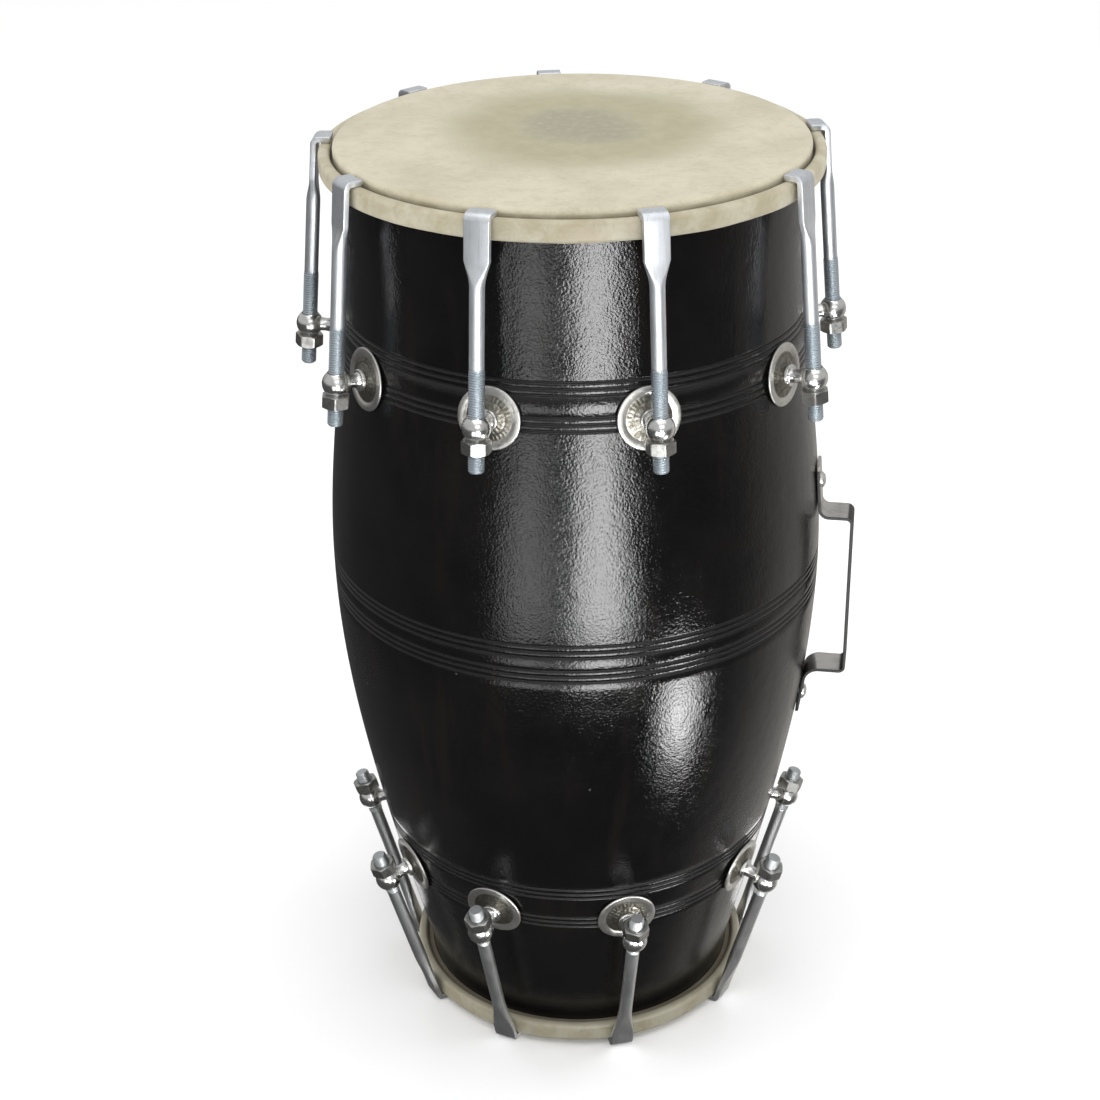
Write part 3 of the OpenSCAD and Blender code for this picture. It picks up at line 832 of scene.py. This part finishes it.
def shell_paint():
    """Thick black gloss paint over turned wood, with a fine sandy peel, faint brush clouds, matt
    grooves and a few specks of dust."""
    look = Look("shell_paint", (0.005, 0.0048, 0.005), 0.3, Specular_IOR_Level=0.5)
    cloud = look.noise(60 * MM, 4)
    streak = look.noise(16 * MM, 4, place=look.scaled((1, 1, 0.12)))
    body = look.mix(look.span(cloud, 0.35, 0.7), (0.0030, 0.0029, 0.0033), (0.0062, 0.0055, 0.0052))
    body = look.mix(look.span(streak, 0.52, 0.75, 0, 0.6), body, (0.0105, 0.0075, 0.0062))
    dust = look.span(look.spots(16 * MM), 0.05, 0.03)
    speck = look.times(dust, look.span(look.noise(30 * MM, 2), 0.6, 0.66))
    brush = look.noise(9 * MM, 4, place=look.scaled((1, 1, 0.5)))
    return look.finish(
        look.mix(speck, body, (0.20, 0.19, 0.17)),
        matt_grooves(look, look.span(brush, 0.3, 0.75, 0.10, 0.18)),
        (look.noise(1.25 * MM, 2, 0.55), 0.175 * MM),
        (look.noise(0.9 * MM, 1, 0.5), 0.06 * MM),
        (look.noise(8 * MM, 3, 0.5), 0.20 * MM),
        (brush, 0.03 * MM),
        (speck, 0.15 * MM),
    )


def rawhide(look, cloud, fine, base, shade):
    """Colour of scraped rawhide: olive clouds, finer mottling and faint pores."""
    surface = look.mix(look.span(cloud, 0.36, 0.72), base, shade)
    surface = look.mix(look.span(fine, 0.42, 0.75, 0, 0.45), surface, tuple(0.84 * c for c in shade))
    pores = look.noise(1.7 * MM, 3, 0.7)
    return look.mix(look.span(pores, 0.52, 0.72, 0, 0.35), surface, tuple(0.72 * c for c in shade))


def paste_shows(look, surface, fine):
    """The paste inside the bass head, showing through it as a darker patch with a greyer middle."""
    x, y, r = 2.5 * MM, 15.5 * MM, 80 * MM
    wander = look.times(look.math("SUBTRACT", look.noise(34 * MM, 3), 0.5), 26 * MM)
    away = look.math("ADD", look.radius(x, y), wander)
    ring = look.times(look.span(away, 1.08 * r, 0.62 * r), 0.92)
    middle = look.times(look.span(away, 0.5 * r, 0.22 * r), 0.8)
    mottled = look.mix(look.span(fine, 0.35, 0.7), (0.325, 0.298, 0.175), (0.375, 0.347, 0.22))
    grey = look.mix(look.span(look.noise(5 * MM, 4), 0.45, 0.75), (0.27, 0.248, 0.175), (0.345, 0.32, 0.24))
    return look.mix(middle, look.mix(ring, surface, mottled), grey)


def lap_colour(look, depth, pale):
    """Colour of the lapped edge: brown blotches on cream, paler along its lower edge. pale scales all of it;
    below 1 it is painted shade.
    """

    def tone(*colour):
        return tuple(pale * c for c in colour)

    blotch = look.noise(13 * MM, 4, 0.6, warp=0.4)
    lap = look.mix(look.span(blotch, 0.36, 0.66), tone(0.475, 0.445, 0.335), tone(0.375, 0.335, 0.225))
    lap = look.mix(look.span(look.noise(20 * MM, 3), 0.5, 0.72, 0, 0.5), lap, tone(0.43, 0.35, 0.245))
    lap = look.mix(look.span(look.noise(2.2 * MM, 4, 0.7), 0.5, 0.75, 0, 0.3), lap, tone(0.29, 0.25, 0.17))
    low_edge = look.span(depth, CROWN + LAP_H * 0.78, CROWN + LAP_H * 0.95)
    return look.mix(look.times(low_edge, 0.45), lap, tone(0.55, 0.52, 0.40))


def painted_lap_shade(look, depth, lap_in, under_shade):
    """Painted shade: darkens the skin under the lapped edge by under_shade, and in the gully between it and
    the collar.
    """
    beside = look.span(look.radius(), lap_in + 3.2 * MM, lap_in + 0.8 * MM)
    behind = look.span(depth, CROWN + LAP_H - 4 * MM, CROWN + LAP_H - 1.5 * MM)
    under = look.times(beside, look.times(behind, under_shade))
    gully = look.span(look.apart(look.radius(), lap_in - CREVICE / 2), 1.1 * MM, 0.4 * MM)
    return look.math("MAXIMUM", under, look.times(gully, look.span(depth, 2.5 * MM, 5 * MM, 0, 0.5)))


def skin_look(end, base, shade, under_shade, pale):
    """Scraped rawhide with a darker lapped edge and painted shade beside it."""
    low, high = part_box(f"{end}_skin")
    face_z, up = (high.z, 1) if end == "bass" else (low.z, -1)
    look = Look(f"{end}_skin", base, 0.5, Specular_IOR_Level=0.35, Sheen_Weight=0.12, Sheen_Roughness=0.5)
    cloud = look.noise(48 * MM, 5, 0.6)
    fine = look.noise(7 * MM, 4, 0.65)
    surface = rawhide(look, cloud, fine, base, shade)
    if end == "bass":
        surface = paste_shows(look, surface, fine)
    depth = look.times(look.math("SUBTRACT", face_z, look.along("Z")), up)
    on_lap = look.span(depth, CROWN * 0.6, CROWN * 0.9)
    surface = look.mix(on_lap, surface, lap_colour(look, depth, pale))
    return look.finish(
        # The dark brown mixed in here is painted shade under the lapped edge and in the gully.
        look.mix(painted_lap_shade(look, depth, high.x - LAP_W, under_shade), surface, (0.07, 0.052, 0.03)),
        look.span(fine, 0.3, 0.8, 0.38, 0.62),
        (cloud, 0.35 * MM), (fine, 0.10 * MM), (look.noise(0.8 * MM, 2), 0.04 * MM),
    )


def bass_skin_look():
    return skin_look("bass", (0.56, 0.52, 0.395), (0.465, 0.425, 0.305), 0.25, 1.0)


def treble_skin_look():
    # The treble's pale of 0.68 darkens its whole lap as painted shade: a darker copy of the bass lap's
    # colours.
    return skin_look("treble", (0.50, 0.46, 0.31), (0.43, 0.39, 0.25), 0.9, 0.68)


def plated_steel(end, bright, dull, rough, blue):
    """Zinc plate on a forged hook: grey clouds, lines drawn along the rod, and a bluish thread."""
    look = Look(f"{end}_hook_steel", bright, rough, 1.0)
    cloud = look.noise(14 * MM, 4, 0.55, varied=True)
    lines = look.noise(1.1 * MM, 3, 0.6, place=look.scaled((1, 1, 0.05)), varied=True)
    surface = look.mix(look.span(cloud, 0.34, 0.7), bright, dull)
    surface = look.mix(look.span(lines, 0.42, 0.75, 0, 0.35), surface, tuple(0.6 * c for c in dull))
    on_thread = look.span(look.along("Z"), THREAD_PAST[end] + 1 * MM, THREAD_PAST[end] - 1 * MM, 0, blue)
    surface = look.mix(on_thread, surface, (0.30, 0.38, 0.42))
    stain = look.span(look.noise(3 * MM, 3, varied=True), 0.68, 0.76, 0, 0.3)
    return look.finish(
        look.mix(stain, surface, (0.24, 0.23, 0.21)),
        look.span(cloud, 0.3, 0.75, rough - 0.06, rough + 0.08),
        (lines, 0.03 * MM), (look.noise(0.9 * MM, 2), 0.02 * MM), (cloud, 0.05 * MM),
    )


def bass_hook_steel():
    return plated_steel("bass", (0.90, 0.93, 0.96), (0.74, 0.77, 0.81), 0.48, 0.55)


def treble_hook_steel():
    return plated_steel("treble", (0.78, 0.79, 0.79), (0.62, 0.63, 0.63), 0.42, 0.2)


def eye_chrome():
    """Bright plate with dull clouds and small dark pits."""
    look = Look("eye_chrome", (0.80, 0.80, 0.80), 0.24, 1.0)
    cloud = look.noise(5 * MM, 4, 0.6, varied=True)
    surface = look.mix(look.span(cloud, 0.45, 0.75), (0.82, 0.82, 0.81), (0.55, 0.54, 0.52))
    pits = look.span(look.spots(1.7 * MM), 0.16, 0.06)
    return look.finish(
        look.mix(look.times(pits, 0.5), surface, (0.16, 0.14, 0.12)),
        look.span(cloud, 0.35, 0.75, 0.18, 0.34),
        (cloud, 0.06 * MM), (look.noise(0.8 * MM, 2), 0.015 * MM),
    )


def nut_zinc():
    """Grey plate, scuffed dark by spanners."""
    look = Look("nut_zinc", (0.74, 0.74, 0.73), 0.26, 1.0)
    cloud = look.noise(4 * MM, 4, 0.6, varied=True)
    surface = look.mix(look.span(cloud, 0.4, 0.7), (0.50, 0.50, 0.485), (0.33, 0.32, 0.30))
    scuff = look.span(look.noise(1.5 * MM, 3, varied=True), 0.62, 0.72, 0, 0.6)
    return look.finish(
        look.mix(scuff, surface, (0.24, 0.22, 0.19)),
        look.span(cloud, 0.3, 0.75, 0.26, 0.44),
        (cloud, 0.08 * MM), (look.noise(0.7 * MM, 2), 0.02 * MM),
    )


def rosette_nickel():
    """Silver rolled rim, and a tarnished embossed middle."""
    look = Look("rosette_nickel", (0.80, 0.78, 0.70), 0.32, 1.0)
    middle = look.span(look.radius(), ROSETTE_R - 4.0 * MM, ROSETTE_R - 4.9 * MM)
    cloud = look.noise(2.6 * MM, 4, 0.65, varied=True)
    rim = look.mix(look.span(cloud, 0.45, 0.8), (0.72, 0.71, 0.68), (0.50, 0.48, 0.43))
    pressed = look.mix(look.span(cloud, 0.40, 0.66), (0.31, 0.30, 0.265), (0.15, 0.14, 0.11))
    speckle = look.span(look.noise(0.9 * MM, 3, 0.7, varied=True), 0.5, 0.66, 0, 0.7)
    pressed = look.mix(speckle, pressed, (0.10, 0.09, 0.065))
    return look.finish(
        look.mix(middle, rim, pressed),
        look.span(cloud, 0.3, 0.75, 0.32, 0.52),
        (cloud, 0.10 * MM), (look.noise(0.8 * MM, 2), 0.05 * MM),
    )


def handle_chrome():
    """Dulled chrome on the feet and arms. The grip and the strip's long edges are dark and non-metallic:
    painted shade on the grip, and painted shade with bare metal on the long edges.
    """
    low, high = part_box("handle")
    look = Look("handle_chrome", (0.45, 0.44, 0.42), 0.24, 1.0)
    cloud = look.noise(18 * MM, 4, 0.6)
    lines = look.noise(1.2 * MM, 3, place=look.scaled((0.1, 1, 0.1)))
    surface = look.mix(look.span(cloud, 0.4, 0.7), (0.66, 0.64, 0.61), (0.46, 0.44, 0.42))
    surface = look.mix(look.span(lines, 0.5, 0.8, 0, 0.3), surface, (0.22, 0.205, 0.19))
    grip_shade = look.span(look.along("X"), high.x - 4 * MM, high.x - 2.5 * MM)
    across = look.math("ABSOLUTE", look.along("Y"))
    ragged_across = look.math("ADD", across, look.times(look.noise(4 * MM, 3), 0.5 * MM))
    bare_and_painted_shade = look.math("MAXIMUM", look.span(ragged_across, high.y - 0.45 * MM, high.y - 0.1 * MM), grip_shade)
    look.fill(look.shader, Metallic=look.math("SUBTRACT", 1.0, bare_and_painted_shade))
    return look.finish(
        # The near-black on the grip and the long edges is painted shade.
        look.mix(bare_and_painted_shade, surface, (0.022, 0.020, 0.019)),
        look.math("MAXIMUM", look.span(cloud, 0.3, 0.75, 0.18, 0.36), look.times(bare_and_painted_shade, 0.5)),
        (lines, 0.02 * MM), (cloud, 0.05 * MM),
    )


def hidden_steel(name, bright, dull, rough):
    """Steel inside the drum: dull plate or bare bar with dark stains."""
    look = Look(name, bright, rough, 1.0)
    cloud = look.noise(9 * MM, 4, 0.6)
    return look.finish(
        look.mix(look.span(cloud, 0.35, 0.7), bright, dull),
        look.span(cloud, 0.3, 0.75, rough - 0.1, rough + 0.12),
        (cloud, 0.08 * MM), (look.noise(1 * MM, 2), 0.03 * MM),
    )


def hoop_steel():
    return hidden_steel("hoop_steel", (0.42, 0.42, 0.43), (0.22, 0.19, 0.17), 0.5)


def inner_zinc():
    return hidden_steel("inner_zinc", (0.60, 0.60, 0.59), (0.38, 0.37, 0.35), 0.4)


def paste_look():
    """Crumbly dried paste."""
    look = Look("paste", (0.17, 0.15, 0.09), 0.85)
    cloud = look.noise(6 * MM, 5, 0.65)
    return look.finish(
        look.mix(look.span(cloud, 0.35, 0.7), (0.20, 0.175, 0.11), (0.10, 0.088, 0.052)),
        look.span(cloud, 0.3, 0.75, 0.75, 0.95),
        (cloud, 0.4 * MM), (look.noise(1.5 * MM, 3), 0.12 * MM),
    )


def all_looks():
    """Every material, by its slot."""
    return {
        "shell_paint": shell_paint(),
        "bass_skin": bass_skin_look(),
        "treble_skin": treble_skin_look(),
        "hoop_steel": hoop_steel(),
        "paste": paste_look(),
        "bass_hook_steel": bass_hook_steel(),
        "treble_hook_steel": treble_hook_steel(),
        "eye_chrome": eye_chrome(),
        "nut_zinc": nut_zinc(),
        "rosette_nickel": rosette_nickel(),
        "inner_zinc": inner_zinc(),
        "handle_chrome": handle_chrome(),
    }


def dress(obj, slot, looks):
    """Gives a new piece of the drum its material and slot, and rides it on the drum's body."""
    obj.data.materials.clear()
    obj.data.materials.append(looks[slot])
    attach(obj, "drum")


def dress_cad_nodes(looks):
    """Gives the nodes that keep their CAD meshes their materials."""
    for node, slot in (
        ("bass_hoop", "hoop_steel"), ("treble_hoop", "hoop_steel"), ("bass_paste", "paste"),
        ("inner_washers", "inner_zinc"), ("inner_nuts", "inner_zinc"), ("handle_screws", "eye_chrome"),
    ):
        for holder in frame["nodes"][node].material_slots:
            holder.link = "OBJECT"
            holder.material = looks[slot]


# -------------------- studio
VIEW_AZIMUTH = math.radians(9.3)  # the camera stands this far round towards +X


def make_floor():
    """A wide white floor just under the drum, hidden from mirror reflections."""
    half, drop = 9.0, 0.0003
    corners = [(-half, -half, -drop), (half, -half, -drop), (half, half, -drop), (-half, half, -drop)]
    floor = mesh_object("floor", corners, [(0, 1, 2, 3)])
    look = Look("floor_white", (0.98, 0.98, 0.98), 0.9, Specular_IOR_Level=0.1)
    floor.data.materials.append(look.material)
    floor.visible_glossy = False


def make_world():
    """Even white light for matt surfaces. In reflections it is pale above the horizon and dark
    below it, with a dim warm floor showing to the right and behind."""
    world = bpy.data.worlds.new("studio")
    bpy.context.scene.world = world
    world.use_nodes = True
    world.node_tree.nodes.clear()
    sky = Nodes(world.node_tree)
    parts = sky.node("SeparateXYZ", Vector=sky.node("TexCoord").outputs["Generated"])

    def background(strength, tint=(1, 1, 1)):
        return sky.node("Background", Color=(*tint, 1), Strength=strength).outputs[0]

    def blend(share, a, b):
        made = sky.node("MixShader")
        for socket, value in zip(made.inputs, (share, a, b)):
            sky.put(socket, value)
        return made.outputs[0]

    def rise(axis, low, high):
        return sky.span(parts.outputs[axis], low, high)

    dark, pale = 0.07, 0.5
    behind = blend(rise("Y", -0.15, 0.55), background(dark), background(pale, (1, 0.96, 0.91)))
    below = blend(rise("X", -0.12, 0.12), background(dark), behind)
    mirrored = blend(rise("Z", -0.12, 0.10), below, background(pale))
    glossy = sky.node("LightPath").outputs["Is Glossy Ray"]
    sky.node("OutputWorld", Surface=blend(glossy, background(0.95), mirrored))


def area_light(name, at, towards, size, power, only_gloss=False, mirrored=True):
    """A rectangular light. only_gloss makes it show as a highlight and light nothing else."""
    data = bpy.data.lights.new(name, "AREA")
    data.shape = "RECTANGLE"
    data.size, data.size_y = size
    data.energy = power
    light = bpy.data.objects.new(name, data)
    light.location = at
    light.rotation_mode = "QUATERNION"
    light.rotation_quaternion = (Vector(towards) - Vector(at)).to_track_quat("-Z", "Y")
    light.visible_camera = False
    light.visible_glossy = mirrored
    light.visible_diffuse = not only_gloss
    bpy.context.scene.collection.objects.link(light)


def around(distance, azimuth_deg, z):
    """A point at a distance from the drum's axis, azimuth_deg to the right of the camera."""
    a = VIEW_AZIMUTH + math.radians(azimuth_deg)
    return (distance * math.sin(a), -distance * math.cos(a), z)


def make_lights():
    """Soft boxes round the drum, and panels that only show as highlights in the paint and the metal."""
    middle = (0, 0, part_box("bass_skin")[1].z / 2)
    low = (0, 0, 0.3)
    area_light("overhead", (0.2, -0.3, 2.4), (0, 0, 0.2), (2.2, 2.2), 14)
    area_light("left_box", around(1.9, -80, 0.9), low, (0.9, 1.6), 8, mirrored=False)
    area_light("right_box", around(1.9, 105, 0.8), low, (0.9, 1.6), 8, mirrored=False)
    area_light("front_box", around(2.2, 12, 1.7), middle, (1.4, 0.8), 8)
    for name, at, towards, size, power in (
        ("key_panel", around(0.815, 10, 0.18), (0, 0, 1.17), (0.25, 0.55), 5.4),
        ("fill_panel", around(0.78, -19, 0.15), (0, 0, 1.1), (0.25, 0.42), 0.85),
        ("low_spot", around(0.38, 43, 0.03), (0, 0, 0.2), (0.085, 0.115), 0.6),
        ("near_left", around(0.145, -116, 0.001), around(0.14, -116, 1), (0.07, 0.07), 0.022),
        ("near_right", around(0.145, 116, 0.001), around(0.14, 116, 1), (0.07, 0.07), 0.022),
    ):
        area_light(name, at, towards, size, power, only_gloss=True)


def make_camera():
    """The photograph's view, fitted to the drum's circles: a little above it, looking down on it."""
    distance, height, lens = 1.036, 0.7998, 69.38
    pitch, yaw, roll = math.radians(27.23), math.radians(-0.784), math.radians(-0.883)
    turn = Matrix.Rotation(VIEW_AZIMUTH, 3, "Z")
    level = math.cos(pitch)
    forward = turn @ Vector((math.sin(yaw) * level, math.cos(yaw) * level, -math.sin(pitch)))
    right = forward.cross(Vector((0, 0, 1))).normalized()
    up = right.cross(forward)
    right_rolled = right * math.cos(roll) + up * math.sin(roll)
    up_rolled = up * math.cos(roll) - right * math.sin(roll)
    data = bpy.data.cameras.new("camera")
    data.lens = lens
    data.sensor_width = 36
    data.clip_start = 0.02
    data.clip_end = 60
    camera = bpy.data.objects.new("camera", data)
    spin = Matrix((right_rolled, up_rolled, -forward)).transposed().to_4x4()
    camera.matrix_world = Matrix.Translation(turn @ Vector((0, -distance, height))) @ spin
    bpy.context.scene.collection.objects.link(camera)
    bpy.context.scene.camera = camera


# -------------------- build
LOOKS = all_looks()
dress(make_shell(), "shell_paint", LOOKS)
dress(make_skin("bass"), "bass_skin", LOOKS)
dress(make_skin("treble"), "treble_skin", LOOKS)
dress(make_handle(), "handle_chrome", LOOKS)
place_hardware(LOOKS)
dress_cad_nodes(LOOKS)
make_floor()
make_world()
make_lights()
make_camera()
bpy.context.scene.view_settings.view_transform = "Standard"
bpy.context.view_layer.update()
